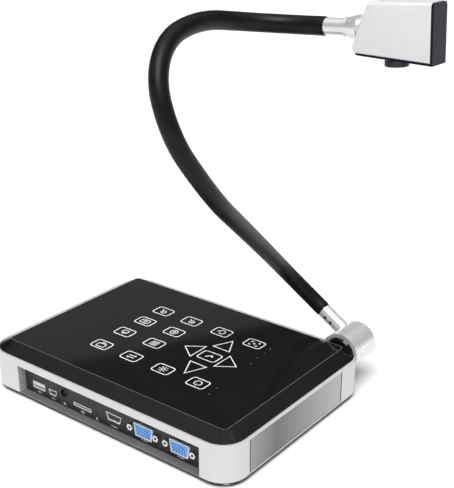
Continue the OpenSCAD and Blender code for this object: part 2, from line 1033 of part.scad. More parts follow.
// Knurled ring that turns on the lens barrel to focus
module focus_ring() {
    ridges = 36;
    color([0.15, 0.15, 0.16])
        at_head()
            difference() {
                union() {
                    translate([lens_x, 0, ring_top - ring_h])
                        cylinder(r = ring_d / 2 - 0.4, h = ring_h);
                    translate([lens_x, 0, ring_top - ring_h + 0.2])
                        for (k = [0:ridges - 1])
                            rotate([0, 0, k * 360 / ridges])
                                translate([ring_d / 2 - 0.9, -0.35, 0])
                                    cube([0.9, 0.7, ring_h - 0.4]);
                }
                translate([lens_x, 0, ring_top - ring_h - 1])
                    cylinder(r = lens_r + fit, h = ring_h + 2);
            }
}

module head_screws() {
    color("silver")
        at_head()
            for (p = [front_screw, rear_screw])
                translate([p[0], 0, p[1]])
                    screw(1, 7, 1.8, 0.8);
}

base_frame();
side_panel_left();
side_panel_right();
top_bezel();
touch_glass();
bottom_plate();
port_panel();
rubber_feet();
base_screws();
ballast_plate();
main_board();
touch_board();
board_standoffs();
board_screws();
heat_sink();
usb_a_socket();
mini_usb_socket();
power_socket();
card_slot();
reset_switch();
reset_button();
hdmi_socket();
vga_in_socket();
vga_out_socket();
vga_flanges();
vga_jackscrews();
ribbon_cable();
hinge_knuckle();
hinge_screws();
hinge_shaft();
friction_washers();
lock_nut();
hinge_barrel();
barrel_cap();
arm_sleeve();
set_screws();
neck_cover(0);  // neck_cover_1
neck_cover(1);  // neck_cover_2
neck_cover(2);  // neck_cover_3
neck_cover(3);  // neck_cover_4
neck_cover(4);  // neck_cover_5
neck_cover(5);  // neck_cover_6
neck_cover(6);  // neck_cover_7
neck_cover(7);  // neck_cover_8
neck_core(0);  // neck_core_1
neck_core(1);  // neck_core_2
neck_core(2);  // neck_core_3
neck_core(3);  // neck_core_4
neck_core(4);  // neck_core_5
neck_core(5);  // neck_core_6
neck_core(6);  // neck_core_7
neck_core(7);  // neck_core_8
head_sleeve();
head_shell();
head_cover();
camera_board();
lens_barrel();
front_lens();
focus_ring();
head_screws();
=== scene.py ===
import json
import math

import bmesh
import bpy
from mathutils import Matrix, Vector


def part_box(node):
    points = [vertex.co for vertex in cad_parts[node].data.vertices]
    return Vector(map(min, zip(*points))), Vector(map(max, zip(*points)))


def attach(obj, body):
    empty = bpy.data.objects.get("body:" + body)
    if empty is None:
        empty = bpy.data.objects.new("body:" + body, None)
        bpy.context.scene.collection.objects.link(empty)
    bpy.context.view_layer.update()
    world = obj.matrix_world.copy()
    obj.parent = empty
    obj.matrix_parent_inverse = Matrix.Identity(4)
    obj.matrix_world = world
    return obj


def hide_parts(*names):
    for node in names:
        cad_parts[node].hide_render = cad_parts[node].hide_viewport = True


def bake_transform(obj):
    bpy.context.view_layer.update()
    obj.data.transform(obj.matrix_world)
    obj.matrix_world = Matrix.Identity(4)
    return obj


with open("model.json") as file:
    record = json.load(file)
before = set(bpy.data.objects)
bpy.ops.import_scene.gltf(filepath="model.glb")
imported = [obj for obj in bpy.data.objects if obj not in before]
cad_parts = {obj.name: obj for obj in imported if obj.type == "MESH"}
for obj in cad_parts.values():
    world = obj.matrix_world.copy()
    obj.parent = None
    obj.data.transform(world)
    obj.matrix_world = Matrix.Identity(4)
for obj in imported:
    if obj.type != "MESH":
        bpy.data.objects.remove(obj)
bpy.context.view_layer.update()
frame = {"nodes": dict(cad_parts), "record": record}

MM = 0.001


def span(node):
    """Lowest and highest corner of a CAD node, in millimetres."""
    low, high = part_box(node)
    return low / MM, high / MM


def middle_x(low, high):
    return (low.x + high.x) / 2


# Heights and faces that the new pieces sit on, in millimetres
GLASS_LOW, GLASS_HIGH = span("touch_glass")
GLASS_Z = GLASS_HIGH.z
PORT_LOW, PORT_HIGH = span("port_panel")
PANEL_Y = PORT_HIGH.y

# Gooseneck: length, bend and turn of each section, as in the CAD source
NECK_SECTIONS = [
    (66, 77, -51), (64, 7, -5), (65, 0, 0), (69, 27, 166),
    (40, 44, -19), (59, 71, -21), (42, 23, 0), (66, 85, -70),
]
# Hinge centre, the arm's rise in degrees, and its length up to the first section
HINGE = (-105, -102, 32.7)
ARM_ANGLE = 32
ARM_LEN = 36.4
# Cover radius, the straight tail up to the head, and the head's roll on that tail
NECK_R = 6.4
NECK_TAIL = 12
HEAD_ROLL = -171
# Skins: spacing and sides of their rings, and how much the two free tips draw in to stay
# inside their sleeves
RING_STEP = 2
RING_SIDES = 48
TIP_EASE = 0.5


# ---------- frames along the neck ----------

def shift(x, y=0, z=0):
    return Matrix.Translation((x, y, z))


def turn(angle, axis):
    return Matrix.Rotation(math.radians(angle), 4, axis)


def along(section, length):
    """The step from a section's start to a point on it, before its turn."""
    whole, bend, _ = NECK_SECTIONS[section]
    if bend == 0:
        return shift(length)
    radius = whole / math.radians(bend)
    return shift(0, radius) @ turn(bend * length / whole, "Z") @ shift(0, -radius)


def neck_frame(section, length):
    """The frame at a distance along a section, in millimetres."""
    here = shift(*HINGE) @ turn(-ARM_ANGLE, "Y") @ shift(ARM_LEN) @ turn(90, "X")
    for k in range(section):
        here = here @ turn(NECK_SECTIONS[k][2], "X") @ along(k, NECK_SECTIONS[k][0])
    return here @ turn(NECK_SECTIONS[section][2], "X") @ along(section, length)


LAST = len(NECK_SECTIONS) - 1
NECK_END = neck_frame(LAST, NECK_SECTIONS[LAST][0])
HEAD = NECK_END @ turn(HEAD_ROLL, "X") @ shift(NECK_TAIL)


# ---------- meshes ----------

def scaled(matrix, point):
    return (matrix @ Vector(point)) * MM


def finish_mesh(name, bm, material, smooth_angle=40):
    """A new object from a bmesh, smooth except at its sharp edges."""
    bmesh.ops.recalc_face_normals(bm, faces=bm.faces)
    mesh = bpy.data.meshes.new(name)
    for face in bm.faces:
        face.smooth = True
    for edge in bm.edges:
        if len(edge.link_faces) == 2 and edge.calc_face_angle(0) > math.radians(smooth_angle):
            edge.smooth = False
    bm.to_mesh(mesh)
    bm.free()
    piece = bpy.data.objects.new(name, mesh)
    bpy.context.scene.collection.objects.link(piece)
    piece.data.materials.append(material)
    return piece


def ribbon(bm, points, width, closed, place, height):
    """A flat raised stroke along points in a plane, with mitred corners."""
    count = len(points)
    sides = []
    for i, p in enumerate(points):
        a = points[(i - 1) % count] if closed or i > 0 else p
        b = points[(i + 1) % count] if closed or i < count - 1 else p
        came = (Vector(p) - Vector(a)).normalized()
        goes = (Vector(b) - Vector(p)).normalized()
        if a == p:
            came = goes
        if b == p:
            goes = came
        n1 = Vector((-came.y, came.x))
        n2 = Vector((-goes.y, goes.x))
        mitre = (n1 + n2).normalized()
        reach = width / 2 / max(mitre.dot(n1), 0.5)
        sides.append((Vector(p) + mitre * reach, Vector(p) - mitre * reach))
    rings = []
    for left, right in sides:
        corners = [(left, 0), (left, height), (right, height), (right, 0)]
        rings.append([bm.verts.new(scaled(place, (q.x, q.y, z))) for q, z in corners])
    for i in range(count if closed else count - 1):
        a, b = rings[i], rings[(i + 1) % count]
        for j in range(4):
            bm.faces.new((a[j], a[(j + 1) % 4], b[(j + 1) % 4], b[j]))
    if not closed:
        bm.faces.new(rings[0])
        bm.faces.new(rings[-1])


def plate(bm, points, place, height):
    """A filled flat shape, raised by a height."""
    low = [bm.verts.new(scaled(place, (x, y, 0))) for x, y in points]
    high = [bm.verts.new(scaled(place, (x, y, height))) for x, y in points]
    bm.faces.new(low)
    bm.faces.new(high)
    for i in range(len(points)):
        j = (i + 1) % len(points)
        bm.faces.new((low[i], low[j], high[j], high[i]))


def arc(cx, cy, r, start, end, steps):
    return [
        (cx + r * math.cos(math.radians(start + (end - start) * i / steps)),
         cy + r * math.sin(math.radians(start + (end - start) * i / steps)))
        for i in range(steps + 1)
    ]


def circle(cx, cy, r, steps=24):
    return arc(cx, cy, r, 0, 360, steps)[:-1]


def rounded_rect(cx, cy, w, h, r):
    points = []
    for sx, sy, start in ((1, 1, 0), (-1, 1, 90), (-1, -1, 180), (1, -1, 270)):
        points += arc(cx + sx * (w / 2 - r), cy + sy * (h / 2 - r), r, start, start + 90, 6)
    return points


# ---------- materials ----------

# Along the side panels in metres: where the painted sheen, a reflection painted into the
# colour, starts and ends, and the share of the way to its darkest place
PAINTED_SHEEN_START, PAINTED_SHEEN_END, PAINTED_SHEEN_DIP = -0.054, 0.065, 0.72


def rgb(color):
    return (*color, 1.0)


def grey(level):
    return (level, level, level)


def base_shader(name):
    material = bpy.data.materials.new(name)
    material.use_nodes = True
    nodes, links = material.node_tree.nodes, material.node_tree.links
    return material, nodes, links, nodes["Principled BSDF"]


def noise_node(nodes, links, scale, stretch=(1, 1, 1), detail=4.0):
    """Noise in the object's own coordinates. Scale counts features per metre."""
    place = nodes.new("ShaderNodeTexCoord")
    mapping = nodes.new("ShaderNodeMapping")
    mapping.inputs["Scale"].default_value = stretch
    noise = nodes.new("ShaderNodeTexNoise")
    noise.inputs["Scale"].default_value = scale
    noise.inputs["Detail"].default_value = detail
    links.new(place.outputs["Object"], mapping.inputs["Vector"])
    links.new(mapping.outputs["Vector"], noise.inputs["Vector"])
    return noise


def ramp_node(nodes, links, source, low, high, start=0.3, end=0.7):
    ramp = nodes.new("ShaderNodeValToRGB")
    ramp.color_ramp.elements[0].position = start
    ramp.color_ramp.elements[1].position = end
    ramp.color_ramp.elements[0].color = rgb(low)
    ramp.color_ramp.elements[1].color = rgb(high)
    links.new(source, ramp.inputs["Fac"])
    return ramp


def range_node(nodes, links, source, low, high):
    spread = nodes.new("ShaderNodeMapRange")
    spread.inputs["To Min"].default_value = low
    spread.inputs["To Max"].default_value = high
    links.new(source, spread.inputs["Value"])
    return spread


def bump_node(nodes, links, source, shader, strength, distance):
    bump = nodes.new("ShaderNodeBump")
    bump.inputs["Strength"].default_value = strength
    bump.inputs["Distance"].default_value = distance
    links.new(source, bump.inputs["Height"])
    links.new(bump.outputs["Normal"], shader.inputs["Normal"])


def surface(name, color, rough, metallic=0.0, vary=0.05, grain=900, stretch=(1, 1, 1),
            bump=0.15, depth=0.00004, rough_vary=0.06, coat=0.0, specular=0.5):
    """A finish with mottled colour, uneven gloss and a fine grain."""
    material, nodes, links, shader = base_shader(name)
    shader.inputs["Metallic"].default_value = metallic
    shader.inputs["Coat Weight"].default_value = coat
    shader.inputs["Coat Roughness"].default_value = 0.04
    shader.inputs["Specular IOR Level"].default_value = specular
    broad = noise_node(nodes, links, grain / 25, stretch, 3.0)
    fine = noise_node(nodes, links, grain, stretch, 5.0)
    low = [c * (1 - vary) for c in color]
    high = [min(c * (1 + vary), 1) for c in color]
    tint = ramp_node(nodes, links, broad.outputs["Fac"], low, high)
    links.new(tint.outputs["Color"], shader.inputs["Base Color"])
    gloss = range_node(nodes, links, broad.outputs["Fac"], rough - rough_vary, rough + rough_vary)
    links.new(gloss.outputs["Result"], shader.inputs["Roughness"])
    bump_node(nodes, links, fine.outputs["Fac"], shader, bump, depth)
    return material


def brushed_painted_sheen(name, dark, light, rough, stretch):
    """Brushed metal: fine lines along Y, and a painted sheen: light and dark reflection bands
    painted into the colour along Y.
    """
    material, nodes, links, shader = base_shader(name)
    shader.inputs["Metallic"].default_value = 0.85
    lines = noise_node(nodes, links, 1500, stretch, 6.0)
    place = nodes.new("ShaderNodeTexCoord")
    split = nodes.new("ShaderNodeSeparateXYZ")
    links.new(place.outputs["Object"], split.inputs["Vector"])
    across = nodes.new("ShaderNodeMapRange")
    across.inputs["From Min"].default_value = PAINTED_SHEEN_START
    across.inputs["From Max"].default_value = PAINTED_SHEEN_END
    links.new(split.outputs["Y"], across.inputs["Value"])
    # Painted reflection: the colour is light at one end, darkest most of the way along Y, lighter
    # again at the far end
    painted_sheen = ramp_node(nodes, links, across.outputs["Result"], grey(0.85), grey(0.55), 0.0, 1.0)
    painted_dark_band = painted_sheen.color_ramp.elements.new(PAINTED_SHEEN_DIP)
    painted_dark_band.color = rgb(grey(0.12))
    mixed = nodes.new("ShaderNodeMath")
    mixed.operation = "MULTIPLY_ADD"
    mixed.inputs[1].default_value = 0.25
    links.new(lines.outputs["Fac"], mixed.inputs[0])
    links.new(painted_sheen.outputs["Color"], mixed.inputs[2])
    tint = ramp_node(nodes, links, mixed.outputs["Value"], dark, light, 0.12, 1.0)
    links.new(tint.outputs["Color"], shader.inputs["Base Color"])
    gloss = range_node(nodes, links, lines.outputs["Fac"], rough - 0.08, rough + 0.1)
    links.new(gloss.outputs["Result"], shader.inputs["Roughness"])
    bump_node(nodes, links, lines.outputs["Fac"], shader, 0.25, 0.00003)
    return material


def board_green():
    """Solder mask over copper tracks."""
    material, nodes, links, shader = base_shader("board_green_mask")
    place = nodes.new("ShaderNodeTexCoord")
    tracks = nodes.new("ShaderNodeTexBrick")
    tracks.inputs["Scale"].default_value = 160
    tracks.inputs["Mortar Size"].default_value = 0.03
    tracks.inputs["Color1"].default_value = rgb((0.010, 0.085, 0.030))
    tracks.inputs["Color2"].default_value = rgb((0.012, 0.100, 0.038))
    tracks.inputs["Mortar"].default_value = rgb((0.030, 0.200, 0.080))
    links.new(place.outputs["Object"], tracks.inputs["Vector"])
    links.new(tracks.outputs["Color"], shader.inputs["Base Color"])
    speckle = noise_node(nodes, links, 2500)
    gloss = range_node(nodes, links, speckle.outputs["Fac"], 0.25, 0.45)
    links.new(gloss.outputs["Result"], shader.inputs["Roughness"])
    bump_node(nodes, links, tracks.outputs["Fac"], shader, 0.3, 0.00003)
    return material


def black_glass():
    """Polished black glass with the faintest smears."""
    material, nodes, links, shader = base_shader("black_glass_polish")
    shader.inputs["IOR"].default_value = 1.5
    smears = noise_node(nodes, links, 35, (1, 2.5, 1), 3.0)
    tint = ramp_node(nodes, links, smears.outputs["Fac"],
                     (0.0085, 0.0085, 0.009), (0.0105, 0.0105, 0.011))
    links.new(tint.outputs["Color"], shader.inputs["Base Color"])
    gloss = range_node(nodes, links, smears.outputs["Fac"], 0.035, 0.065)
    links.new(gloss.outputs["Result"], shader.inputs["Roughness"])
    dust = noise_node(nodes, links, 1800)
    bump_node(nodes, links, dust.outputs["Fac"], shader, 0.01, 0.00001)
    return material


def neck_sleeve():
    """Satin black sleeve with a faint leathery grain."""
    material, nodes, links, shader = base_shader("neck_sleeve_satin")
    cells = nodes.new("ShaderNodeTexVoronoi")
    cells.inputs["Scale"].default_value = 1400
    place = nodes.new("ShaderNodeTexCoord")
    links.new(place.outputs["Object"], cells.inputs["Vector"])
    broad = noise_node(nodes, links, 60)
    tint = ramp_node(nodes, links, broad.outputs["Fac"],
                     (0.006, 0.006, 0.0062), (0.009, 0.009, 0.0092))
    links.new(tint.outputs["Color"], shader.inputs["Base Color"])
    shader.inputs["Specular IOR Level"].default_value = 0.16
    gloss = range_node(nodes, links, broad.outputs["Fac"], 0.36, 0.44)
    links.new(gloss.outputs["Result"], shader.inputs["Roughness"])
    bump_node(nodes, links, cells.outputs["Distance"], shader, 0.12, 0.00005)
    return material


def coated_lens():
    """Front glass whose coating drifts from blue to violet."""
    material, nodes, links, shader = base_shader("lens_coated")
    shader.inputs["IOR"].default_value = 1.6
    shader.inputs["Coat Weight"].default_value = 1.0
    drift = noise_node(nodes, links, 120)
    tint = ramp_node(nodes, links, drift.outputs["Fac"], (0.03, 0.05, 0.12), (0.16, 0.05, 0.22))
    links.new(tint.outputs["Color"], shader.inputs["Base Color"])
    smears = noise_node(nodes, links, 300)
    gloss = range_node(nodes, links, smears.outputs["Fac"], 0.02, 0.06)
    links.new(gloss.outputs["Result"], shader.inputs["Roughness"])
    return material


# In surface(): name, colour, roughness, metallic, colour variation, grain per metre and
# the stretch of that grain
FINISHES = {
    "silver_frame": surface("silver_satin", (0.64, 0.64, 0.65), 0.36, 0.4, 0.02, 1600, bump=0.08),
    # The side panels carry a painted reflection: light and dark bands along Y in their colour
    "side_panel": brushed_painted_sheen("side_brushed_painted_sheen", (0.11, 0.11, 0.113), (0.44, 0.44, 0.45),
                          0.36, (1, 0.04, 1)),
    "black_bezel": surface("bezel_gloss", (0.006, 0.006, 0.0063), 0.14, 0.0, 0.1, 1200, bump=0.02,
                           rough_vary=0.03, specular=0.25),
    "black_glass": black_glass(),
    "bottom_metal": surface("bottom_paint", (0.13, 0.13, 0.135), 0.5, 0.0, 0.1, 2500, bump=0.35),
    "port_plate": surface("port_matte", (0.020, 0.020, 0.021), 0.5, 0.0, 0.12, 3000, bump=0.3),
    "foot_rubber": surface("foot_rubber_matt", grey(0.014), 0.7, 0.0, 0.15, 1800, bump=0.4),
    "screw_steel": surface("screw_plated", (0.72, 0.72, 0.70), 0.28, 1.0, 0.08, 3000, bump=0.15),
    "ballast_iron": surface("iron_raw", (0.10, 0.105, 0.11), 0.6, 0.7, 0.25, 700, bump=0.5),
    "board_green": board_green(),
    "brass": surface("brass_turned", (0.72, 0.50, 0.20), 0.3, 1.0, 0.1, 2500, bump=0.15),
    "heat_sink": surface("sink_extruded", (0.66, 0.67, 0.69), 0.35, 1.0, 0.06, 1600,
                         (1, 0.1, 1), 0.2),
    "socket_metal": surface("socket_nickel", (0.90, 0.90, 0.89), 0.34, 0.25, 0.05, 2600,
                            bump=0.12),
    "socket_black": surface("socket_moulded", (0.018, 0.018, 0.019), 0.4, 0.0, 0.12, 2600,
                            bump=0.25),
    "button_white": surface("button_moulded", (0.80, 0.80, 0.78), 0.4, 0.0, 0.04, 2600, bump=0.15),
    "vga_blue": surface("vga_moulded", (0.15, 0.42, 0.95), 0.42, 0.0, 0.08, 2600, bump=0.2),
    "cable_grey": surface("cable_flat", (0.60, 0.61, 0.62), 0.45, 0.0, 0.12, 2200, (1, 6, 1), 0.4),
    "hinge_silver": surface("hinge_satin", (0.80, 0.80, 0.81), 0.28, 0.55, 0.03, 1800,
                            (1, 0.15, 1), 0.12),
    "shaft_steel": surface("shaft_turned", (0.42, 0.42, 0.43), 0.3, 1.0, 0.08, 2200,
                           (0.1, 3, 0.1), 0.25),
    "set_screw_black": surface("set_screw_oxide", (0.03, 0.03, 0.032), 0.4, 0.6, 0.15, 3500,
                               bump=0.3),
    "neck_black": neck_sleeve(),
    "neck_core": surface("core_wound", (0.25, 0.26, 0.28), 0.4, 1.0, 0.15, 1500, bump=0.5),
    "head_silver": surface("head_paint", (0.74, 0.74, 0.745), 0.38, 0.1, 0.02, 2600, bump=0.1,
                           coat=0.1),
    "head_black": surface("head_gloss", (0.008, 0.008, 0.018), 0.18, 0.0, 0.1, 1400, bump=0.03,
                          rough_vary=0.03, specular=0.09),
    "lens_black": surface("lens_anodised", (0.045, 0.045, 0.048), 0.3, 0.6, 0.15, 2600, bump=0.3),
    "lens_glass": coated_lens(),
}
WHITE_INK = surface("ink_white", grey(0.90), 0.5, 0.0, 0.04, 3500, bump=0.3)
# Grey for the line round the glass: a painted highlight of the glass's edge
EDGE_HIGHLIGHT_PAINT = surface("glass_edge_highlight_paint", (0.16, 0.16, 0.165), 0.4, 0.0, 0.08, 3500, bump=0.2)
DIM_LIGHT = surface("light_window", (0.10, 0.10, 0.105), 0.3, 0.0, 0.1, 3500, bump=0.2)
# Dark blue for the VGA pin holes: painted shade
PIN_HOLE_SHADE = surface("pin_hole_painted_shade", (0.008, 0.03, 0.11), 0.5, 0.0, 0.1, 3500, bump=0.2)


def dress_cad():
    """Each CAD node takes its finish from its slot in the record."""
    for entry in frame["record"]["subparts"]:
        node = frame["nodes"][entry["node"]]
        node.data.materials.clear()
        node.data.materials.append(FINISHES[entry["material_slot"]])


def fix_to_base(piece):
    """A drawn piece that rides on the base."""
    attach(piece, "base")


# ---------- gooseneck skins ----------

def neck_samples(first):
    """Frames from the middle of a section to the middle of the next, or on to a free end."""
    length = NECK_SECTIONS[first][0]
    following = NECK_SECTIONS[first + 1][0]
    start = 0 if first == 0 else length / 2
    last = first + 1 == LAST
    end = following + NECK_TAIL if last else following / 2
    places = []
    steps = round((length - start) / RING_STEP)
    places += [(first, start + (length - start) * i / steps) for i in range(steps)]
    steps = round(end / RING_STEP)
    places += [(first + 1, end * i / steps) for i in range(steps + 1)]
    samples = []
    for section, distance in places:
        whole = NECK_SECTIONS[section][0]
        here = neck_frame(section, min(distance, whole))
        if distance > whole:
            here = here @ shift(distance - whole)
        samples.append(here)
    return samples


def neck_skin(first):
    """One smooth stretch of the gooseneck's cover, over the joint between two sections."""
    samples = neck_samples(first)
    bm = bmesh.new()
    normal = samples[0].col[1].to_3d()
    rings = []
    open_start = first == 0
    open_end = first + 1 == LAST
    for i, sample in enumerate(samples):
        tangent = sample.col[0].to_3d()
        normal = (normal - tangent * normal.dot(tangent)).normalized()
        other = tangent.cross(normal)
        centre = sample.translation
        at_tip = (open_start and i == 0) or (open_end and i == len(samples) - 1)
        radius = NECK_R - (TIP_EASE if at_tip else 0)
        rings.append([
            bm.verts.new((centre + (normal * math.cos(a) + other * math.sin(a)) * radius) * MM)
            for a in (2 * math.pi * j / RING_SIDES for j in range(RING_SIDES))
        ])
    for low, high in zip(rings, rings[1:]):
        for j in range(RING_SIDES):
            k = (j + 1) % RING_SIDES
            bm.faces.new((low[j], low[k], high[k], high[j]))
    bm.faces.new(rings[0])
    bm.faces.new(rings[-1])
    piece = finish_mesh(f"neck_skin_{first + 1}", bm, FINISHES["neck_black"])
    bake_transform(piece)
    hidden = [f"neck_cover_{first + 1}"]
    if open_end:
        hidden.append(f"neck_cover_{first + 2}")
    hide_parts(*hidden)


# ---------- camera head ----------

# In the head's frame: the flat end that the cover closes, the side view round from the
# sleeve's lower corner, half the width, and the rounding of the top and the other edges
SHELL_END = 79.5
SHELL_OUTLINE = [
    (25.5, -14.7), (24.1, -11.2), (35.5, 17.5), (SHELL_END, 18.2), (SHELL_END, -18.3),
]
SHELL_HALF = 9.5
TOP_ROUND = 3
EDGE_ROUND = 0.9
# Edges sharper than this are rounded, and edges softer than this are shaded smooth
ROUND_ANGLE = 32
SHELL_SMOOTH = 25


def head_shell_skin():
    """Silver shell as a solid with rounded edges: wide along the top, small elsewhere."""
    bm = bmesh.new()
    near = [bm.verts.new((x, -SHELL_HALF, z)) for x, z in SHELL_OUTLINE]
    far = [bm.verts.new((x, SHELL_HALF, z)) for x, z in SHELL_OUTLINE]
    bm.faces.new(near)
    bm.faces.new(far)
    count = len(SHELL_OUTLINE)
    for i in range(count):
        j = (i + 1) % count
        bm.faces.new((near[i], near[j], far[j], far[i]))
    bmesh.ops.recalc_face_normals(bm, faces=bm.faces)
    # The long edges of the top are the outline's third stretch
    top = [e for e in bm.edges for side in (near, far) if set(e.verts) == set(side[2:4])]
    bmesh.ops.bevel(bm, geom=top, offset=TOP_ROUND, segments=8, affect="EDGES",
                    profile=0.5, clamp_overlap=True)
    sharp = [
        e for e in bm.edges
        if e.calc_face_angle(0) > math.radians(ROUND_ANGLE)
        and not all(v.co.x > SHELL_END - 0.1 for v in e.verts)
    ]
    bmesh.ops.bevel(bm, geom=sharp, offset=EDGE_ROUND, segments=4, affect="EDGES",
                    profile=0.5, clamp_overlap=True)
    bm.transform(Matrix.Scale(MM, 4) @ HEAD)
    piece = finish_mesh("head_shell_skin", bm, FINISHES["head_silver"], SHELL_SMOOTH)
    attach(piece, "head")
    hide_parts("head_shell")


# ---------- print on the glass, and a painted highlight round its edge ---

KEY_W, KEY_H, KEY_R = 16, 11.7, 2.5
OK_W, OK_H = 17, 12.6
# Widths of the printed lines, and the height of the print and of the painted highlight and shade
OUTLINE_STROKE = 0.9
SYMBOL_STROKE = 0.75
TICK_STROKE = 1.1
FILM_HEIGHT = 0.03
ON_GLASS = shift(0, 0, GLASS_Z)
# Middles of the keys by symbol, of the OK key, outlines of the arrow keys round it, and
# middles of the status lights
KEYS = {
    "power": (-55, 38), "sun": (-21, 38), "swap": (11.5, 38), "monitor": (43.4, 38),
    "lines": (12, 11), "lock": (44, 11),
    "camera": (12.5, -13.5), "record": (44, -13.5),
    "focus": (-51, -37), "rotate": (-18.4, -37), "zoom_in": (13.6, -37), "zoom_out": (44.5, -37),
}
OK_KEY = (-36.2, 1)
ARROWS = [
    [(-37.5, 33), (-45, 16), (-29, 15.5)],
    [(-62.4, 1.5), (-48.5, -9), (-48.5, 11)],
    [(-10.2, -0.5), (-24, 10), (-24, -10)],
    [(-35, -30), (-27.7, -14), (-43.6, -14)],
]
LIGHTS = [(-71, 45), (-70.6, 35.5), (-68, -9.6), (-67, -19.3), (-67, -29), (-66, -38)]
LIGHT_R = 0.7
# Painted highlight round the glass's edge: its inset from each edge, corner radius and width
RIM_INSET, RIM_CORNER, RIM_STROKE = 0.25, 3.7, 0.4


def line(*points):
    return list(points), False


def loop(points):
    return points, True


def symbol_strokes(kind):
    """The strokes of a generic symbol, about 8 mm across, round its own middle."""
    if kind == "power":
        return [(arc(0, 0, 3, 120, 420, 20), False), line((0, 1.2), (0, 4))]
    if kind == "sun":
        rays = [
            line(*((r * math.cos(a), r * math.sin(a)) for r in (2.6, 3.9)))
            for a in (math.pi * k / 4 for k in range(8))
        ]
        return [loop(circle(0, 0, 1.5, 16))] + rays
    if kind == "swap":
        return [
            line((-3.6, 1.4), (3.6, 1.4)), line((1.8, 3.0), (3.6, 1.4)),
            line((3.6, -1.4), (-3.6, -1.4)), line((-1.8, -3.0), (-3.6, -1.4)),
        ]
    if kind == "monitor":
        return [
            loop(rounded_rect(0, 0.9, 7.6, 4.8, 0.6)),
            line((-2.2, -3.2), (2.2, -3.2)), line((0, -1.6), (0, -3.0)),
        ]
    if kind == "lines":
        return [line((-3.6, y), (3.6, y)) for y in (-2.7, -0.9, 0.9, 2.7)]
    if kind == "lock":
        return [
            loop(rounded_rect(0, -1.1, 5.4, 3.8, 0.5)),
            (arc(0, 0.9, 1.7, 0, 180, 10), False),
        ]
    if kind == "camera":
        return [loop(circle(0, 0, 3.2, 20)), loop(circle(0, 0, 1.2, 12))]
    if kind == "record":
        return [loop(rounded_rect(0, 0, 8, 5.6, 0.8)), loop(circle(0, 0, 1.2, 12))]
    if kind == "focus":
        corners = [
            line((sx * 3.8, sy * 1.2), (sx * 3.8, sy * 2.8), (sx * 2.0, sy * 2.8))
            for sx in (-1, 1) for sy in (-1, 1)
        ]
        return corners + [line((-1.2, 0), (1.2, 0)), line((0, -1.2), (0, 1.2))]
    if kind == "rotate":
        return [
            (arc(0, 0, 2.9, 60, 345, 20), False),
            line((1.2, 0.6), (2.8, -0.9), (4.3, 0.7)),
        ]
    magnifier = [
        loop(circle(-0.8, 0.8, 2.3, 16)),
        line((0.9, -0.9), (3.0, -3.0)), line((-1.8, 0.8), (0.2, 0.8)),
    ]
    if kind == "zoom_in":
        magnifier.append(line((-0.8, -0.2), (-0.8, 1.8)))
    return magnifier


def key_print():
    """Print on the glass: key outlines, symbols, arrows and light windows, and a painted edge
    highlight.
    """
    bm = bmesh.new()
    borders = [rounded_rect(x, y, KEY_W, KEY_H, KEY_R) for x, y in KEYS.values()]
    for points in borders + [rounded_rect(*OK_KEY, OK_W, OK_H, KEY_R)] + ARROWS:
        ribbon(bm, points, OUTLINE_STROKE, True, ON_GLASS, FILM_HEIGHT)
    outlines = finish_mesh("key_outlines", bm, WHITE_INK)
    bm = bmesh.new()
    for kind, (x, y) in KEYS.items():
        for points, closed in symbol_strokes(kind):
            ribbon(bm, points, SYMBOL_STROKE, closed, ON_GLASS @ shift(x, y), FILM_HEIGHT)
    centre = ON_GLASS @ shift(*OK_KEY)
    ribbon(bm, [(-2.6, 0.2), (-0.8, -1.8), (3.0, 2.0)], TICK_STROKE, False, centre, FILM_HEIGHT)
    symbols = finish_mesh("key_symbols", bm, WHITE_INK)
    bm = bmesh.new()
    for x, y in LIGHTS:
        plate(bm, circle(x, y, LIGHT_R, 16), ON_GLASS, FILM_HEIGHT)
    dots = finish_mesh("status_windows", bm, DIM_LIGHT)
    # A painted highlight: a grey line round the glass's edge
    bm = bmesh.new()
    size = GLASS_HIGH - GLASS_LOW
    edge_highlight_path = rounded_rect(0, 0, size.x - 2 * RIM_INSET, size.y - 2 * RIM_INSET, RIM_CORNER)
    ribbon(bm, edge_highlight_path, RIM_STROKE, True, ON_GLASS, FILM_HEIGHT / 2)
    edge = finish_mesh("glass_edge_painted_highlight", bm, EDGE_HIGHLIGHT_PAINT)
    for piece, slot in ((outlines, "button_white"), (symbols, "button_white"),
                        (dots, "black_bezel"), (edge, "black_bezel")):
        fix_to_base(piece)


# ---------- print on the port plate ----------

# The mark under each port and its width
PORTS = {
    "usb_a_socket": ("in", 5.0), "mini_usb_socket": ("in", 4.4), "power_socket": ("power", 4.4),
    "card_slot": ("card", 5.0), "reset_button": ("loop", 3.0), "hdmi_socket": ("out", 6.4),
    "vga_in_socket": ("in", 6.4), "vga_out_socket": ("out", 6.4),
}


def port_strokes(kind, w):
    """A small generic mark under a port: two bars with an arrow or a sign between them."""
    bars = [line((-w / 2, 0), (-1.6, 0)), line((1.6, 0), (w / 2, 0))]
    if kind == "in":
        return bars + [line((-1.0, -0.6), (0, 0.8), (1.0, -0.6))]
    if kind == "out":
        return bars + [line((-1.0, 0.6), (0, -0.8), (1.0, 0.6))]
    if kind == "power":
        return bars + [loop(circle(0, 0, 0.7, 12))]
    if kind == "card":
        return bars + [loop([(-0.7, -0.7), (0.7, -0.7), (0.7, 0.4), (0.3, 0.8), (-0.7, 0.8)])]
    return [(arc(0, 0, 0.8, 40, 330, 12), False)]


def outward(x, y, z, heading=180):
    """A frame on a side wall that faces out: 180 for +Y, 270 for -X, 90 for +X."""
    return shift(x, y, z) @ turn(heading, "Z") @ turn(90, "X")


def wide_top(w, h, slant):
    """Outline of a socket mouth that is wider at the top."""
    return [(-w / 2, h / 2), (w / 2, h / 2), (w / 2 - slant, -h / 2), (slant - w / 2, -h / 2)]


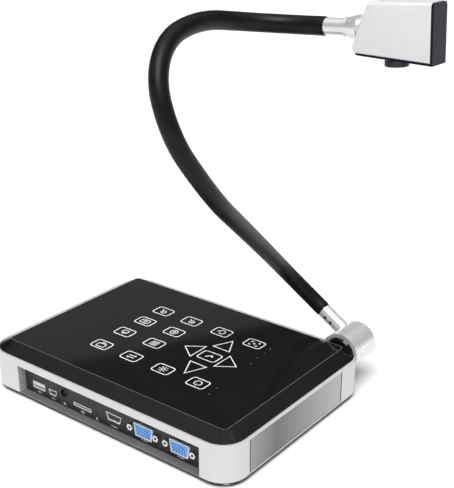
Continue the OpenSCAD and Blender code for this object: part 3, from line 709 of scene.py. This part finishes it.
# Dark plates inside the sockets, partly black moulding and partly painted shade in the
# cavities: node, height, outline and depth below the socket's face
MOUTHS = [
    ("usb_a_socket", 12.4, rounded_rect(0, 0, 12.3, 4.5, 0.3), 1.7),
    ("mini_usb_socket", 11.8, wide_top(7.9, 3.5, 1.0), 0.9),
    ("card_slot", 10.9, rounded_rect(0, 0, 17.5, 1.5, 0.2), 0.6),
    ("hdmi_socket", 14.0, wide_top(14.5, 4.9, 1.7), 1.1),
]
MOUTH_THICK = 3
# The USB tongue: size, height, and how far its front lies behind the socket's face
TONGUE_W, TONGUE_H, TONGUE_LEN = 11.8, 2.5, 9
TONGUE_Z = 13.3
TONGUE_BACK = 0.5
# VGA pin holes as painted shade: middle row's height, spacing of rows and holes, slant and radius
VGA_Z = 14.5
ROW_PITCH = 2.1
PIN_PITCH = 2.6
ROW_SLANT = 0.7
PIN_HOLE_R = 0.7


def socket_mouths():
    """Dark plates inside the socket openings, partly black moulding and partly painted shade in
    the cavities, the USB socket's white tongue, and painted shade on the VGA pin holes.
    """
    bm = bmesh.new()
    # Painted shade: dark plates close the openings, standing in for the shaded cavities and their
    # black mouldings
    for node, z, outline, depth in MOUTHS:
        low, high = span(node)
        place = outward(middle_x(low, high), high.y - depth - MOUTH_THICK, z)
        plate(bm, outline, place, MOUTH_THICK)
    mouths = finish_mesh("socket_mouths", bm, FINISHES["socket_black"])
    low, high = span("usb_a_socket")
    bm = bmesh.new()
    place = outward(middle_x(low, high), high.y - TONGUE_BACK - TONGUE_LEN, TONGUE_Z)
    plate(bm, rounded_rect(0, 0, TONGUE_W, TONGUE_H, 0.4), place, TONGUE_LEN)
    tongue = finish_mesh("usb_tongue", bm, FINISHES["button_white"])
    bm = bmesh.new()
    # Painted shade: dark blue discs on the VGA sockets' faces where their pin holes are
    for node in ("vga_in_socket", "vga_out_socket"):
        low, high = span(node)
        for row in (-1, 0, 1):
            for k in range(-2, 3):
                x = middle_x(low, high) + k * PIN_PITCH + row * ROW_SLANT
                place = outward(x, high.y, VGA_Z + row * ROW_PITCH)
                plate(bm, circle(0, 0, PIN_HOLE_R, 12), place, FILM_HEIGHT)
    pin_hole_discs = finish_mesh("vga_pin_hole_shade", bm, PIN_HOLE_SHADE)
    for piece, slot in ((mouths, "socket_black"), (tongue, "button_white"),
                        (pin_hole_discs, "socket_black")):
        fix_to_base(piece)


# Dark strips of painted shadow in the joints at the side panels' ends: place along Y and width
# of each, height of their middle, length, root below the panel's face and thickness
GAP_SHADOW_STRIPS = [(-53.8, 0.8), (64.1, 1.4)]
SEAM_Z = 18.7
SEAM_LEN = 26.6
SEAM_ROOT = 0.9
SEAM_THICK = 1.05


def panel_gap_painted_shadows():
    """Dark strips at both ends of the side panels: painted shadow in the gaps of their joints."""
    bm = bmesh.new()
    for node, heading in (("side_panel_left", 270), ("side_panel_right", 90)):
        low, high = span(node)
        root = low.x + SEAM_ROOT if heading == 270 else high.x - SEAM_ROOT
        for y, wide in GAP_SHADOW_STRIPS:
            place = outward(root, y, SEAM_Z, heading)
            plate(bm, rounded_rect(0, 0, wide, SEAM_LEN, 0.2), place, SEAM_THICK)
    # Painted shadow: the strips take the feet's black rubber finish
    fix_to_base(finish_mesh("panel_gap_painted_shadows", bm, FINISHES["foot_rubber"]))


MARK_RISE = 2.1
MARK_STROKE = 0.55


def port_print():
    """The marks in a row along the foot of the port plate."""
    bm = bmesh.new()
    for node, (kind, width) in PORTS.items():
        low, high = span(node)
        place = outward(middle_x(low, high), PANEL_Y, PORT_LOW.z + MARK_RISE)
        for points, closed in port_strokes(kind, width):
            ribbon(bm, points, MARK_STROKE, closed, place, FILM_HEIGHT)
    fix_to_base(finish_mesh("port_marks", bm, WHITE_INK))


# ---------- studio ----------

# The camera in metres: its place, its own right, the way back from its view, and its lens
EYE = Vector((-0.45705, 0.51978, 0.40231))
EYE_RIGHT = Vector((-0.78905, -0.61432, 0))
EYE_BACK = Vector((-0.56999, 0.73210, 0.37302))
LENS = 72.08
# The card: where its edge's mirror image crosses the glass, the edge's slant, how many
# times farther than the glass it stands, and its size
CARD_EDGE = Vector((0.001, 0.0015, GLASS_Z * MM))
CARD_SLANT = math.atan2(0.147, 0.082)
CARD_REACH = 4
CARD_LEN, CARD_WIDTH = 2.0, 0.9
FLOOR_HALF = 60


def glass_card():
    """A dim area light. From EYE its mirror image covers the +X side of the glass, and its
    edge crosses the glass on a slant."""
    mirrored = Vector((EYE.x, EYE.y, 2 * GLASS_Z * MM - EYE.z))
    edge = mirrored + (CARD_EDGE - mirrored) * CARD_REACH
    across = Vector((math.sin(CARD_SLANT), -math.cos(CARD_SLANT), 0))
    centre = edge + across * CARD_WIDTH / 2
    data = bpy.data.lights.new("glass_card", "AREA")
    data.shape = "RECTANGLE"
    data.size = CARD_LEN
    data.size_y = CARD_WIDTH
    data.energy = 1.0
    card = bpy.data.objects.new("glass_card", data)
    bpy.context.scene.collection.objects.link(card)
    card.location = centre
    card.rotation_euler = (0, 0, CARD_SLANT)
    card.visible_camera = False


def floor():
    """A pale floor that reaches the horizon."""
    bm = bmesh.new()
    bm.faces.new([
        bm.verts.new((sx * FLOOR_HALF, sy * FLOOR_HALF, 0))
        for sx, sy in ((-1, -1), (1, -1), (1, 1), (-1, 1))
    ])
    material = surface("floor_pale", grey(0.86), 0.8, 0.0, 0.004, 40, bump=0.0)
    finish_mesh("studio_floor", bm, material)


def studio():
    """A sky that is pale overhead and at the horizon and dark between, a sun and the card."""
    world = bpy.data.worlds.new("studio")
    bpy.context.scene.world = world
    world.use_nodes = True
    nodes, links = world.node_tree.nodes, world.node_tree.links
    back = nodes["Background"]
    place = nodes.new("ShaderNodeTexCoord")
    split = nodes.new("ShaderNodeSeparateXYZ")
    links.new(place.outputs["Generated"], split.inputs["Vector"])
    sky = ramp_node(nodes, links, split.outputs["Z"], grey(0.03), grey(0.95), 0.58, 0.88)
    pale = sky.color_ramp.elements.new(0.0)
    pale.color = rgb(grey(0.9))
    dark = sky.color_ramp.elements.new(0.2)
    dark.color = rgb(grey(0.03))
    links.new(sky.outputs["Color"], back.inputs["Color"])
    sun_data = bpy.data.lights.new("sun", "SUN")
    sun_data.energy = 3.2
    sun_data.angle = math.radians(35)
    sun = bpy.data.objects.new("sun", sun_data)
    bpy.context.scene.collection.objects.link(sun)
    sun.rotation_euler = Vector((0.35, -0.6, -1.5)).to_track_quat("-Z", "Y").to_euler()
    glass_card()


def camera():
    """The photograph's viewpoint."""
    data = bpy.data.cameras.new("camera")
    data.sensor_width = 36
    data.lens = LENS
    eye = bpy.data.objects.new("camera", data)
    bpy.context.scene.collection.objects.link(eye)
    back = EYE_BACK.normalized()
    up = back.cross(EYE_RIGHT).normalized()
    turned = Matrix((EYE_RIGHT, up, back)).transposed().to_4x4()
    eye.matrix_world = Matrix.Translation(EYE) @ turned
    bpy.context.scene.camera = eye
    bpy.context.scene.view_settings.view_transform = "Standard"


dress_cad()
for section in range(LAST):
    neck_skin(section)
head_shell_skin()
key_print()
port_print()
socket_mouths()
panel_gap_painted_shadows()
floor()
studio()
camera()
